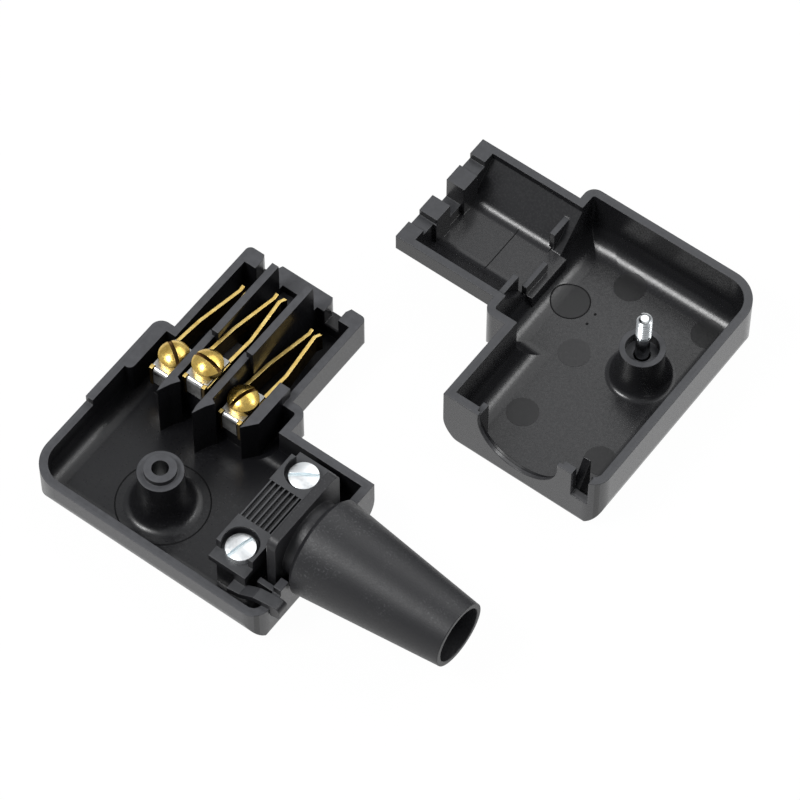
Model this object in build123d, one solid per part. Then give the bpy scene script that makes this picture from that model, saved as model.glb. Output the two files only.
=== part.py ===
from build123d import *
import os

# Angled rewirable appliance connector lying open, the cover half beside the base half
# Millimetres; origin on the underside of the base half, where the mouth and cable centre lines cross
# x runs toward the cable, y toward the pin mouth, z up

# Body outline from above
MOUTH_WIDTH = 24.0
MOUTH_REACH = 19.7
SHOULDER_WIDTH = 30.4
SHOULDER_REACH = 19.0
SHOULDER_STEP = 4.5
ARM_WIDTH = 30.3
ARM_REACH = 31.7
BACK_CORNER_R = 6.0
END_CORNER_R = 3.0
SHOULDER_CORNER_R = 2.0
SQUARE_CORNER_R = 0.4

# Heights and walls of the two halves
BASE_HEIGHT = 9.2
COVER_HEIGHT = 12.7
LOW_RIM_DROP = 1.4
LOW_RIM_START = 18.9
BASE_EDGE_R = 4.6
COVER_EDGE_R = 5.6
END_EDGE_R = 1.3
LEAST_EDGE_R = 0.6
WALL = 1.45
FLOOR = 1.8

# Pin mouth
MOUTH_BASE_HEIGHT = 7.5
MOUTH_COVER_HEIGHT = 8.5
MOUTH_CHAMFER = 5.0
MOUTH_SLOPE = 5.8
MOUTH_EDGE_R = 1.5
MOUTH_CORNER_R = 1.0
MOUTH_WALL = 1.35
MOUTH_FLOOR = 1.5
MOUTH_FRONT = 3.0
PIN_PITCH = 7.0
PIN_LEVEL = 6.0
EARTH_RISE = 4.0
PIN_SLOT_WIDTH = 2.9
PIN_SLOT_DROP = 2.2
LEAD_IN_DEPTH = 0.9
LEAD_IN_ANGLE = 25.0
EARTH_SHELF_DROP = 1.8
EARTH_SHELF_LENGTH = 3.0

# Partitions in the base
PARTITION_THICKNESS = 1.3
PARTITION_HEIGHT = 15.6
PARTITION_FRONT = 3.8
GUIDE_HEIGHT = 14.0
GUIDE_FRONT = 0.6
GUIDE_LENGTH = 10.4
GUIDE_BARB = 0.9
GUIDE_TAIL = 3.2
SIDE_FENCE_HEIGHT = 11.5
SIDE_FENCE_GAP = 0.3
SIDE_FENCE_THICKNESS = 2.0
SIDE_FENCE_LENGTH = 7.6
SIDE_FENCE_TAIL = 2.4
RIDGE_THICKNESS = 2.7
RIDGE_LENGTH = 9.7
BED_APRON = 4.8

# Contacts and terminals
TERMINAL_SHIFT = -0.8
TERMINAL_REACH = 5.3
STRIP_THICKNESS = 0.6
CHANNEL_WIDTH = 4.4
CHANNEL_REAR = 3.0
CHANNEL_FRONT = 4.2
LEAF_HEIGHT = 4.1
LEAF_BEND = 3.0
LEAF_BEND_HALF = 1.8
LEAF_TIP = 11.6
LEAF_TIP_HALF = 0.55
LEAF_LEFT_FLARE = 0.12
LEAF_RIGHT_FLARE = 0.5
LEAF_FLARE_LENGTH = 1.0
CHANNEL_DROP = 0.3
EAR_LENGTH = 0.8
EAR_RISE = 0.9
PLATE_THICKNESS = 0.8
PLATE_WIDTH = 4.2
PLATE_FRONT = 2.9
TAB_WIDTH = 2.9
TAB_DROP = 3.8
TERMINAL_HEAD_R = 2.6
TERMINAL_HEAD_EDGE = 0.9
TERMINAL_DOME = 1.5
TERMINAL_SHANK_R = 1.45
TERMINAL_BITE = 2.0
HEAD_FLAT = 0.55
SLOT_WIDTH = 0.75
SLOT_DEPTH = 0.9

# Cover screw, its bosses and its nut
SCREW_X = 4.1
SCREW_INSET = 10.9
BASE_BOSS_HEIGHT = 11.6
COVER_BOSS_HEIGHT = 9.9
BOSS_R = 3.8
BOSS_FLARE = 0.9
SPIGOT_R = 2.7
SPIGOT_HEIGHT = 1.0
COUNTERBORE_DEPTH = 2.0
COVER_SHANK_R = 1.3
COVER_SHANK_LENGTH = 15.5
COVER_HEAD_R = 2.75
COVER_HEAD_HEIGHT = 2.0
COVER_HEAD_DEPTH = 3.0
COVER_TIP_CHAMFER = 0.5
NUT_FLATS = 5.5
NUT_HEIGHT = 2.4
NUT_DEPTH = 5.0

# Cable clamp
CABLE_HEIGHT = 10.4
CLAMP_SETBACK = 9.1
CLAMP_WIDTH = 7.2
CLAMP_NEAR_GAP = 4.0
CLAMP_FAR_GAP = 2.7
CLAMP_SCREW_INSET = 3.7
CLAMP_TOP = 12.4
CLAMP_THICKNESS = 3.4
CLAMP_SEAT_DROP = 2.2
CLAMP_SEAT_R = 3.1
CLAMP_SEAT_OPEN = 1.6
CLAMP_POST_WIDTH = 5.6
CLAMP_HEAD_R = 2.5
CLAMP_HEAD_EDGE = 0.7
CLAMP_DOME = 0.8
CLAMP_SHANK_R = 1.4
CLAMP_BITE = 5.0
RIB_COUNT = 7
RIB_PITCH = 0.92
RIB_WIDTH = 0.25
RIB_PANEL_LENGTH = 7.9
RIB_PANEL_SHIFT = -0.45
RIB_DEPTH = 0.8
STRAP_INSET = 3.7
STRAP_WIDTH = 2.1
STRAP_THICKNESS = 1.2
STRAP_ROOT = 2.2
STRAP_SAG = 1.2
STRAP_RISE = 2.6
STRAP_SWAY = 1.1
STRAP_HOOK_LENGTH = 1.7
STRAP_HOOK_DROP = 1.6
STRAP_RIB_GAP = 1.1
STRAP_RIB_THICKNESS = 1.0
STRAP_RIB_REACH = 3.2

# Cable sleeve
NOTCH_R = 7.8
SLEEVE_LARGE_R = 8.6
SLEEVE_SMALL_R = 5.7
SLEEVE_LENGTH = 27.1
SLEEVE_BORE_R = 4.85
SLEEVE_WAIST_R = 6.6
SLEEVE_RIM = 0.8
COLLAR_SETBACK = 3.8
COLLAR_THICKNESS = 1.7
COLLAR_HALF = 8.3
COLLAR_CORNER_R = 1.7

# Cover interior
TAB_PITCH = 3.84
TAB_THICKNESS = 3.84
TAB_LENGTH = 3.6
EARTH_SLOT_DROP = 4.7
PIN_NOTCH_DROP = 1.3
MOUTH_RIB_TOP = 10.0
MOUTH_RIB_INNER = 5.0
MOUTH_RIB_OUTER = 10.4
MOUTH_RIB_THICKNESS = 1.0
SHELF_WIDTH = 9.6
SHELF_DEPTH = 1.2
LIP_WIDTH = 6.0
LIP_HEIGHT = 2.0
LIP_THICKNESS = 0.9
NOTCH_LEDGE = 0.6
END_RIB_OFFSET = 8.9
END_RIB_REACH = 2.5
END_SLOT_WIDTH = 3.2
END_SLOT_LOW = 6.5
HOOK_OFFSET = 10.5
HOOK_REACH = 3.0
HOOK_TOP = 11.6
HOOK_HEEL = 6.5
HOOK_THICKNESS = 1.4

# Clearances and the gap of the halves as they lie
FIT = 0.1
CUT = 1.0
COVER_PLACE_X = 46.17
COVER_PLACE_Y = 64.55

# Slot directions of the screw heads, degrees from x
LINE_SLOT = -34.0
EARTH_SLOT = -4.0
NEUTRAL_SLOT = 76.0
FAR_CLAMP_SLOT = 34.0
NEAR_CLAMP_SLOT = 77.0

# Derived places
BODY_LEFT = -SHOULDER_WIDTH / 2
SHOULDER_RIGHT = SHOULDER_WIDTH / 2
ARM_FAR = SHOULDER_REACH - SHOULDER_STEP
ARM_NEAR = ARM_FAR - ARM_WIDTH
MOUTH_LEFT = -MOUTH_WIDTH / 2
MOUTH_RIGHT = MOUTH_WIDTH / 2
MOUTH_FACE = SHOULDER_REACH + MOUTH_REACH
MOUTH_LOW = BASE_HEIGHT - MOUTH_BASE_HEIGHT
COVER_MOUTH_LOW = COVER_HEIGHT - MOUTH_COVER_HEIGHT
TERMINAL_Y = SHOULDER_REACH - TERMINAL_REACH
SCREW_Y = ARM_NEAR + SCREW_INSET
PARTITION_END = MOUTH_FACE - PARTITION_FRONT
LOW_RIM = BASE_HEIGHT - LOW_RIM_DROP
STRAP_Y = ARM_NEAR + STRAP_INSET
CLAMP_X = ARM_REACH - CLAMP_SETBACK
CLAMP_NEAR = ARM_NEAR + CLAMP_NEAR_GAP
CLAMP_FAR = ARM_FAR - CLAMP_FAR_GAP
CLAMP_LOW = CLAMP_TOP - CLAMP_THICKNESS
CLAMP_SEAT = CLAMP_TOP - CLAMP_SEAT_DROP
CLOSED_HEIGHT = BASE_HEIGHT + COVER_HEIGHT
TALL = CLOSED_HEIGHT
SCREW_PLACE = Pos(SCREW_X, SCREW_Y, 0)


def block(x0, x1, y0, y1, z0, z1):
    """Solid block between two opposite corners."""
    middle = Pos((x0 + x1) / 2, (y0 + y1) / 2, (z0 + z1) / 2)
    return middle * Box(x1 - x0, y1 - y0, z1 - z0)


def post(x, y, radius, z0, z1):
    """Upright cylinder between two heights."""
    return Pos(x, y, (z0 + z1) / 2) * Cylinder(radius, z1 - z0)


def outline(*points):
    """Face inside straight lines through the points."""
    return make_face(Polyline(*points, close=True))


def round_corners(face, corners):
    """Round the corner of the face at each given point by its radius."""
    for point, radius in corners:
        face = fillet(face.vertices().sort_by_distance(Vector(*point))[0], radius)
    return face


def along_y(face, y0, y1):
    """Solid with the face as its x-z section between two y places."""
    return extrude(Plane.XZ.offset(-y1) * face, y1 - y0)


def along_x(face, x0, x1):
    """Solid with the face as its y-z section between two x places."""
    return extrude(Plane.YZ.offset(x0) * face, x1 - x0)


def along_z(face, z0, z1):
    """Solid with the face as its plan between two heights."""
    return extrude(Plane.XY.offset(z0) * face, z1 - z0)


def tub_section(low_side, high_side, low, high, low_r, high_r):
    """Upright section with its two lower corners rounded."""
    corners = ((low_side, low), (high_side, low), (high_side, high), (low_side, high))
    return round_corners(outline(*corners), [(corners[0], low_r), (corners[1], high_r)])


def body_block(inset, low, high, edge_r):
    """Body of one half moved inward by the inset, its lower edges rounded."""
    left = BODY_LEFT + inset
    end = ARM_REACH - inset
    near = ARM_NEAR + inset
    far = ARM_FAR - inset
    right = SHOULDER_RIGHT - inset
    front = SHOULDER_REACH - inset
    side_r = edge_r - inset
    end_r = max(END_EDGE_R - inset, LEAST_EDGE_R)
    plan = outline((left, near), (end, near), (end, far), (right, far), (right, front), (left, front))
    plan = round_corners(
        plan,
        [
            ((left, near), BACK_CORNER_R - inset),
            ((end, near), END_CORNER_R - inset),
            ((right, front), max(SHOULDER_CORNER_R - inset, SQUARE_CORNER_R)),
            ((left, front), max(SHOULDER_CORNER_R - inset, SQUARE_CORNER_R)),
        ],
    )
    arm = along_y(tub_section(left, end, low, high, side_r, end_r), near, far)
    arm &= along_x(tub_section(near, far, low, high, side_r, side_r), left, end)
    shoulder = along_y(tub_section(left, right, low, high, side_r, side_r), near, front)
    shoulder &= along_x(tub_section(near, front, low, high, side_r, side_r), left, right)
    return (arm + shoulder) & along_z(plan, low, high)


def turned(points_face):
    """Solid turned about the z axis from a face in radius and height."""
    return revolve(Plane.XZ * points_face, Axis.Z)


def boss(height):
    """Round boss on the floor with a flared foot."""
    flare_foot = BOSS_R + BOSS_FLARE + FLOOR / 2
    profile = outline(
        (0, FLOOR / 2), (flare_foot, FLOOR / 2), (BOSS_R, FLOOR + BOSS_FLARE), (BOSS_R, height), (0, height)
    )
    return SCREW_PLACE * turned(profile)


def slotted_screw(head_r, edge, dome, shank_r, length, slot_angle):
    """Screw with a raised slotted head, its bearing face at z 0 and its shank below."""
    top = edge + dome
    head = outline((0, 0), (head_r, 0), (head_r, edge), (head_r * HEAD_FLAT, top), (0, top))
    slot = block(-2 * head_r, 2 * head_r, -SLOT_WIDTH / 2, SLOT_WIDTH / 2, top - SLOT_DEPTH, top + CUT)
    return turned(head) - Rot(0, 0, slot_angle) * slot + post(0, 0, shank_r, -length, 0)


def leaf(points, z0, z1):
    """Upright spring leaf through the plan points."""
    half = STRIP_THICKNESS / 2
    one_side = [(x - half, y) for x, y in points]
    other_side = [(x + half, y) for x, y in reversed(points)]
    return along_z(outline(*one_side, *other_side), z0, z1)


def pole_x(side):
    """Pin centre of a pole; side is -1, 0 or 1."""
    return side * PIN_PITCH


def terminal_x(side):
    """Terminal screw centre of a pole."""
    return pole_x(side) + TERMINAL_SHIFT


def leaf_low(side):
    """Lower edge of a pole's spring leaves; the earth stands higher."""
    rise = EARTH_RISE if side == 0 else 0.0
    return MOUTH_LOW + PIN_LEVEL + rise - LEAF_HEIGHT / 2


def bed_top(side):
    """Bed the contact of a pole lies on."""
    return leaf_low(side) - STRIP_THICKNESS


def plate_low(side):
    """Underside of a pole's clamp plate, on the walls of the contact."""
    return leaf_low(side) + LEAF_HEIGHT - CHANNEL_DROP


def contact(side):
    """Folded spring contact of one pole."""
    low = leaf_low(side)
    top = low + LEAF_HEIGHT
    wall_top = plate_low(side)
    screw_x = terminal_x(side)
    rear = TERMINAL_Y - CHANNEL_REAR
    front = TERMINAL_Y + CHANNEL_FRONT
    half = CHANNEL_WIDTH / 2
    pieces = []
    for hand, flare in ((-1, LEAF_LEFT_FLARE), (1, LEAF_RIGHT_FLARE)):
        root = screw_x + hand * (half - STRIP_THICKNESS / 2)
        bend = (screw_x + pole_x(side)) / 2 + hand * LEAF_BEND_HALF
        tip = pole_x(side) + hand * LEAF_TIP_HALF
        path = [
            (root, front - 2 * STRIP_THICKNESS),
            (bend, SHOULDER_REACH + LEAF_BEND),
            (tip, SHOULDER_REACH + LEAF_TIP),
            (tip + hand * flare, SHOULDER_REACH + LEAF_TIP + LEAF_FLARE_LENGTH),
        ]
        pieces.append(leaf(path, low, top))
        outer = screw_x + hand * half
        inner = outer - hand * STRIP_THICKNESS
        x0, x1 = min(outer, inner), max(outer, inner)
        pieces.append(block(x0, x1, rear, front, low - STRIP_THICKNESS, wall_top))
        pieces.append(block(x0, x1, rear - EAR_LENGTH, rear, low, wall_top + EAR_RISE))
    strip = block(screw_x - half, screw_x + half, rear, front, low - STRIP_THICKNESS, low)
    hole = post(screw_x, TERMINAL_Y, TERMINAL_SHANK_R + FIT, low - CUT, low + CUT)
    return strip + pieces - hole


def clamp_plate(side):
    """Bent plate under a terminal screw head."""
    low = plate_low(side)
    top = low + PLATE_THICKNESS
    screw_x = terminal_x(side)
    rear = TERMINAL_Y - CHANNEL_REAR
    half_tab = TAB_WIDTH / 2
    plate = block(
        screw_x - PLATE_WIDTH / 2, screw_x + PLATE_WIDTH / 2, rear + FIT, TERMINAL_Y + PLATE_FRONT, low, top
    )
    edge = rear - PLATE_THICKNESS
    bend = outline(
        (edge, top - TAB_DROP),
        (rear, top - TAB_DROP),
        (rear, low),
        (rear + CUT, low),
        (rear + CUT, top),
        (edge, top),
    )
    bend = round_corners(bend, [((edge, top), PLATE_THICKNESS)])
    tab = along_x(bend, screw_x - half_tab, screw_x + half_tab)
    return plate + tab - post(screw_x, TERMINAL_Y, TERMINAL_SHANK_R + FIT, low - CUT, top + CUT)


def terminal_screw(side, slot_angle):
    """Terminal screw of one pole, its head on the clamp plate."""
    seat = plate_low(side) + PLATE_THICKNESS
    length = seat - bed_top(side) + TERMINAL_BITE
    screw = slotted_screw(
        TERMINAL_HEAD_R, TERMINAL_HEAD_EDGE, TERMINAL_DOME, TERMINAL_SHANK_R, length, slot_angle
    )
    return Pos(terminal_x(side), TERMINAL_Y, seat) * screw


def mouth_section(inset, low_inset, slope):
    """Section of the cover's mouth half with a long slope at each side."""
    left = MOUTH_LEFT + inset
    right = MOUTH_RIGHT - inset
    low = COVER_MOUTH_LOW + low_inset
    return outline(
        (left, COVER_HEIGHT + low_inset),
        (left, low + slope),
        (left + slope, low),
        (right - slope, low),
        (right, low + slope),
        (right, COVER_HEIGHT + low_inset),
    )


def cable_round(radius, level, x0, x1):
    """Cylinder on the cable axis at a given level."""
    return Pos((x0 + x1) / 2, 0, level) * Rot(0, 90, 0) * Cylinder(radius, x1 - x0)


def guide_plan(x):
    """Plan of a wire guide between two terminals: straight wall, barb and pointed tail."""
    half = PARTITION_THICKNESS / 2
    front = SHOULDER_REACH + GUIDE_FRONT
    rear = SHOULDER_REACH - GUIDE_LENGTH
    return outline(
        (x - half, front),
        (x - half, rear - GUIDE_TAIL / 2),
        (x - half / 2, rear - GUIDE_TAIL),
        (x + half, rear - GUIDE_BARB),
        (x + half + GUIDE_BARB, rear + GUIDE_BARB / 2),
        (x + half, rear + GUIDE_BARB),
        (x + half, front),
    )


def fence_plan():
    """Plan of the thicker fence beside the last terminal, with a pointed tail."""
    left = terminal_x(1) + TERMINAL_HEAD_R + SIDE_FENCE_GAP
    right = left + SIDE_FENCE_THICKNESS
    front = SHOULDER_REACH + GUIDE_FRONT
    rear = SHOULDER_REACH - SIDE_FENCE_LENGTH
    return outline((left, front), (left, rear - SIDE_FENCE_TAIL), (right, rear), (right, front))


def bed_plan(side):
    """Plan of the bed under a pole's contact."""
    left = terminal_x(side) - CHANNEL_WIDTH / 2 - FIT
    right = terminal_x(side) + CHANNEL_WIDTH / 2 + FIT
    rear = TERMINAL_Y - CHANNEL_REAR
    front = TERMINAL_Y + CHANNEL_FRONT + BED_APRON
    return outline((left, rear), (right, rear), (right, front), (left, front))


def rooted(plan, top):
    """Wall up to a height, its root inside the body's floor and the mouth's floor."""
    deep = along_z(plan, FLOOR / 2, top)
    deep &= block(BODY_LEFT, SHOULDER_RIGHT, ARM_NEAR, SHOULDER_REACH - WALL - CUT, 0, TALL)
    return deep + along_z(plan, MOUTH_LOW + MOUTH_FLOOR / 2, top)


def clamp_places():
    """Screw places of the cable clamp, far one first."""
    return [CLAMP_FAR - CLAMP_SCREW_INSET, CLAMP_NEAR + CLAMP_SCREW_INSET]


def mouth_plan():
    """Plan of the mouth with its two front corners rounded."""
    rear = SHOULDER_REACH - WALL
    left_front = (MOUTH_LEFT, MOUTH_FACE)
    right_front = (MOUTH_RIGHT, MOUTH_FACE)
    plan = outline((MOUTH_LEFT, rear), (MOUTH_RIGHT, rear), right_front, left_front)
    return round_corners(plan, [(left_front, MOUTH_CORNER_R), (right_front, MOUTH_CORNER_R)])


def base_shell():
    """Base half: moulded tub with mouth, partitions, beds, boss and clamp posts."""
    mouth_tub = tub_section(MOUTH_LEFT, MOUTH_RIGHT, MOUTH_LOW, BASE_HEIGHT, MOUTH_EDGE_R, MOUTH_EDGE_R)
    mouth = along_y(mouth_tub, SHOULDER_REACH - WALL, MOUTH_FACE) & along_z(mouth_plan(), 0, TALL)
    hollow = body_block(WALL, FLOOR, BASE_HEIGHT + CUT, BASE_EDGE_R)
    channel = block(
        MOUTH_LEFT + MOUTH_WALL,
        MOUTH_RIGHT - MOUTH_WALL,
        SHOULDER_REACH - 2 * WALL,
        MOUTH_FACE - MOUTH_FRONT,
        MOUTH_LOW + MOUTH_FLOOR,
        BASE_HEIGHT + CUT,
    )
    shell = body_block(0, 0, BASE_HEIGHT, BASE_EDGE_R) + mouth - hollow - channel

    rim_step = SHOULDER_REACH - LOW_RIM_START
    near_step = ARM_NEAR + BACK_CORNER_R
    near_cut = block(BODY_LEFT - CUT, ARM_REACH + CUT, ARM_NEAR - CUT, near_step, LOW_RIM, TALL)
    left_cut = block(BODY_LEFT - CUT, BODY_LEFT + WALL + FIT, ARM_NEAR, rim_step, LOW_RIM, TALL)
    notch = cable_round(NOTCH_R, CABLE_HEIGHT, ARM_REACH - 2 * WALL, ARM_REACH + CUT)
    cuts = [near_cut, left_cut, notch]
    for side in (-1, 1):
        slot_low = MOUTH_LOW + PIN_LEVEL - PIN_SLOT_DROP
        x = pole_x(side)
        half = PIN_SLOT_WIDTH / 2
        cuts.append(
            block(x - half, x + half, MOUTH_FACE - MOUTH_FRONT - CUT, MOUTH_FACE + CUT, slot_low, TALL)
        )
        lead_in = Plane.XZ.offset(-MOUTH_FACE) * Pos(x, TALL / 2 + slot_low - LEAD_IN_DEPTH / 2) * Rectangle(
            PIN_SLOT_WIDTH + LEAD_IN_DEPTH, TALL
        )
        cuts.append(extrude(lead_in, LEAD_IN_DEPTH, taper=LEAD_IN_ANGLE))
    shell -= cuts

    mouth_floor = MOUTH_LOW + MOUTH_FLOOR / 2
    inside = []
    for side in (-1, 0):
        x = (pole_x(side) + pole_x(side + 1)) / 2
        half = PARTITION_THICKNESS / 2
        inside.append(
            block(x - half, x + half, SHOULDER_REACH, PARTITION_END, mouth_floor, PARTITION_HEIGHT)
        )
        inside.append(
            block(x - half, x + half, PARTITION_END - CUT, MOUTH_FACE - CUT, mouth_floor, BASE_HEIGHT)
        )
        guide_x = (terminal_x(side) + terminal_x(side + 1)) / 2
        inside.append(rooted(guide_plan(guide_x), GUIDE_HEIGHT))
    shelf_half = PIN_PITCH / 2
    inside.append(
        block(
            pole_x(0) - shelf_half,
            pole_x(0) + shelf_half,
            MOUTH_FACE - MOUTH_FRONT - EARTH_SHELF_LENGTH,
            MOUTH_FACE - CUT,
            mouth_floor,
            BASE_HEIGHT - EARTH_SHELF_DROP,
        )
    )
    for side in (-1, 0, 1):
        inside.append(rooted(bed_plan(side), bed_top(side)))
    inside.append(rooted(fence_plan(), SIDE_FENCE_HEIGHT))
    ridge_x = BODY_LEFT + WALL / 2
    ridge_half = (BODY_LEFT + RIDGE_THICKNESS - ridge_x) / 2
    ridge_rear = SHOULDER_REACH - RIDGE_LENGTH
    ridge = block(
        ridge_x, BODY_LEFT + RIDGE_THICKNESS, ridge_rear, SHOULDER_REACH - WALL / 2, FLOOR / 2, BASE_HEIGHT
    )
    ridge += post(ridge_x + ridge_half, ridge_rear, ridge_half, FLOOR / 2, BASE_HEIGHT)
    inside.append(ridge & body_block(WALL / 2, FLOOR / 2, BASE_HEIGHT, BASE_EDGE_R))
    half = CLAMP_POST_WIDTH / 2
    for y in clamp_places():
        inside.append(block(CLAMP_X - half, CLAMP_X + half, y - half, y + half, FLOOR / 2, CLAMP_LOW))
    rib_y = STRAP_Y + STRAP_WIDTH / 2 + STRAP_RIB_GAP
    inside.append(
        block(
            ARM_REACH - WALL - STRAP_RIB_REACH,
            ARM_REACH - WALL / 2,
            rib_y,
            rib_y + STRAP_RIB_THICKNESS,
            FLOOR / 2,
            LOW_RIM,
        )
    )
    inside.append(boss(BASE_BOSS_HEIGHT))
    inside.append(SCREW_PLACE * post(0, 0, SPIGOT_R, FLOOR, BASE_BOSS_HEIGHT + SPIGOT_HEIGHT))
    shell += inside

    holes = [SCREW_PLACE * post(0, 0, COVER_SHANK_R + FIT, -CUT, TALL)]
    nut_pocket = RegularPolygon((NUT_FLATS + 2 * FIT) / 2, 6, major_radius=False)
    holes.append(SCREW_PLACE * along_z(nut_pocket, -CUT, NUT_DEPTH))
    for side in (-1, 0, 1):
        hole_low = bed_top(side) - TERMINAL_BITE - FIT
        holes.append(
            post(terminal_x(side), TERMINAL_Y, TERMINAL_SHANK_R + FIT, hole_low, bed_top(side) + CUT)
        )
    for y in clamp_places():
        holes.append(post(CLAMP_X, y, CLAMP_SHANK_R + FIT, CLAMP_LOW - CLAMP_BITE - FIT, CLAMP_LOW + CUT))
    return shell - holes


def cover_shell():
    """Cover half in the plan of the closed body, height from its outer face."""
    mouth = along_y(mouth_section(0, 0, MOUTH_CHAMFER), SHOULDER_REACH - WALL, MOUTH_FACE)
    shell = body_block(0, 0, COVER_HEIGHT, COVER_EDGE_R) + mouth
    hollow = body_block(WALL, FLOOR, COVER_HEIGHT + CUT, COVER_EDGE_R)
    channel_end = MOUTH_FACE - MOUTH_FRONT
    channel_section = mouth_section(MOUTH_WALL, MOUTH_FLOOR, MOUTH_SLOPE)
    channel = along_y(channel_section, SHOULDER_REACH - 2 * WALL, channel_end)
    shell = shell - hollow - channel

    mouth_body = along_y(mouth_section(0, 0, MOUTH_CHAMFER), SHOULDER_REACH, MOUTH_FACE)
    inside = []
    for hand in (-1, 1):
        x = pole_x(0) + hand * TAB_PITCH
        tab = block(
            x - TAB_THICKNESS / 2,
            x + TAB_THICKNESS / 2,
            MOUTH_FACE - TAB_LENGTH,
            MOUTH_FACE,
            COVER_MOUTH_LOW,
            COVER_HEIGHT,
        )
        inside.append(tab & mouth_body)
        x0, x1 = sorted((pole_x(0) + hand * MOUTH_RIB_INNER, pole_x(0) + hand * MOUTH_RIB_OUTER))
        rib = block(
            x0, x1, SHOULDER_REACH, SHOULDER_REACH + MOUTH_RIB_THICKNESS, COVER_MOUTH_LOW, MOUTH_RIB_TOP
        )
        inside.append(rib & mouth_body)
    shelf_rear = SHOULDER_REACH - WALL - SHELF_DEPTH
    shelf_front = SHOULDER_REACH - WALL / 2
    shelf_top = COVER_MOUTH_LOW + MOUTH_FLOOR
    shelf = block(
        pole_x(0) - SHELF_WIDTH / 2,
        pole_x(0) + SHELF_WIDTH / 2,
        shelf_rear,
        shelf_front,
        FLOOR / 2,
        shelf_top,
    )
    inside.append(shelf & body_block(WALL / 2, FLOOR / 2, COVER_HEIGHT, COVER_EDGE_R))
    lip_rear = SHOULDER_REACH - WALL
    lip_left = pole_x(0) + SHELF_WIDTH / 2 - LIP_WIDTH
    inside.append(
        block(
            lip_left,
            lip_left + LIP_WIDTH,
            lip_rear,
            lip_rear + LIP_THICKNESS,
            COVER_MOUTH_LOW,
            shelf_top + LIP_HEIGHT,
        )
    )
    end_inner = ARM_REACH - WALL
    inside.append(
        block(
            end_inner - END_RIB_REACH,
            end_inner + WALL / 2,
            END_RIB_OFFSET - MOUTH_RIB_THICKNESS / 2,
            END_RIB_OFFSET + MOUTH_RIB_THICKNESS / 2,
            FLOOR / 2,
            MOUTH_RIB_TOP,
        )
    )
    hook_y = -HOOK_OFFSET
    hook_x = end_inner - HOOK_REACH
    hook = outline(
        (hook_x, FLOOR / 2), (end_inner, FLOOR / 2), (end_inner, HOOK_HEEL), (hook_x, HOOK_TOP)
    )
    inside.append(along_y(hook, hook_y - HOOK_THICKNESS / 2, hook_y + HOOK_THICKNESS / 2))
    inside.append(boss(COVER_BOSS_HEIGHT))
    shell += inside

    axis_level = CLOSED_HEIGHT - CABLE_HEIGHT
    shank = COVER_SHANK_R + FIT
    counterbore = COVER_BOSS_HEIGHT - COUNTERBORE_DEPTH
    screw_hole = outline(
        (0, -CUT),
        (COVER_HEAD_R + FIT, -CUT),
        (COVER_HEAD_R + FIT, COVER_HEAD_DEPTH),
        (shank, COVER_HEAD_DEPTH),
        (shank, counterbore),
        (SPIGOT_R + FIT, counterbore),
        (SPIGOT_R + FIT, TALL),
        (0, TALL),
    )
    cuts = [
        cable_round(NOTCH_R, axis_level, ARM_REACH - WALL / 2, ARM_REACH + CUT),
        cable_round(NOTCH_R + NOTCH_LEDGE, axis_level, end_inner - CUT, ARM_REACH - WALL / 2),
        SCREW_PLACE * turned(screw_hole),
    ]
    cuts.append(
        block(
            end_inner - FIT,
            ARM_REACH + CUT,
            STRAP_Y - END_SLOT_WIDTH / 2,
            STRAP_Y + END_SLOT_WIDTH / 2,
            END_SLOT_LOW,
            TALL,
        )
    )
    half_slot = TAB_PITCH - TAB_THICKNESS / 2
    cuts.append(
        block(
            pole_x(0) - half_slot,
            pole_x(0) + half_slot,
            MOUTH_FACE - TAB_LENGTH - CUT,
            MOUTH_FACE + CUT,
            COVER_HEIGHT - EARTH_SLOT_DROP,
            TALL,
        )
    )
    for side in (-1, 1):
        half = PIN_SLOT_WIDTH / 2
        cuts.append(
            block(
                pole_x(side) - half,
                pole_x(side) + half,
                MOUTH_FACE - MOUTH_FRONT - CUT,
                MOUTH_FACE + CUT,
                COVER_HEIGHT - PIN_NOTCH_DROP,
                TALL,
            )
        )
    return shell - cuts


def lay_open(half):
    """Turn a piece of the closed cover over beside the base, outer face down."""
    fold = Plane(origin=(0, 0, 0), z_dir=(1, 1, 0))
    return Pos(COVER_PLACE_X, COVER_PLACE_Y, 0) * mirror(half, about=fold)


def cover_screw():
    """Long screw standing in the cover's boss, head in the outer face."""
    head_low = COVER_HEAD_DEPTH - COVER_HEAD_HEIGHT
    tip = COVER_HEAD_DEPTH + COVER_SHANK_LENGTH
    profile = outline(
        (0, head_low),
        (COVER_HEAD_R, head_low),
        (COVER_HEAD_R, COVER_HEAD_DEPTH),
        (COVER_SHANK_R, COVER_HEAD_DEPTH),
        (COVER_SHANK_R, tip - COVER_TIP_CHAMFER),
        (COVER_SHANK_R - COVER_TIP_CHAMFER, tip),
        (0, tip),
    )
    slot = block(
        -2 * COVER_HEAD_R, 2 * COVER_HEAD_R, -SLOT_WIDTH / 2, SLOT_WIDTH / 2, 0, head_low + SLOT_DEPTH
    )
    return SCREW_PLACE * (turned(profile) - slot)


def cover_nut():
    """Nut in the pocket under the base boss."""
    nut = along_z(RegularPolygon(NUT_FLATS / 2, 6, major_radius=False), NUT_DEPTH - NUT_HEIGHT, NUT_DEPTH)
    return SCREW_PLACE * (nut - post(0, 0, COVER_SHANK_R, -CUT, TALL))


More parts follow.
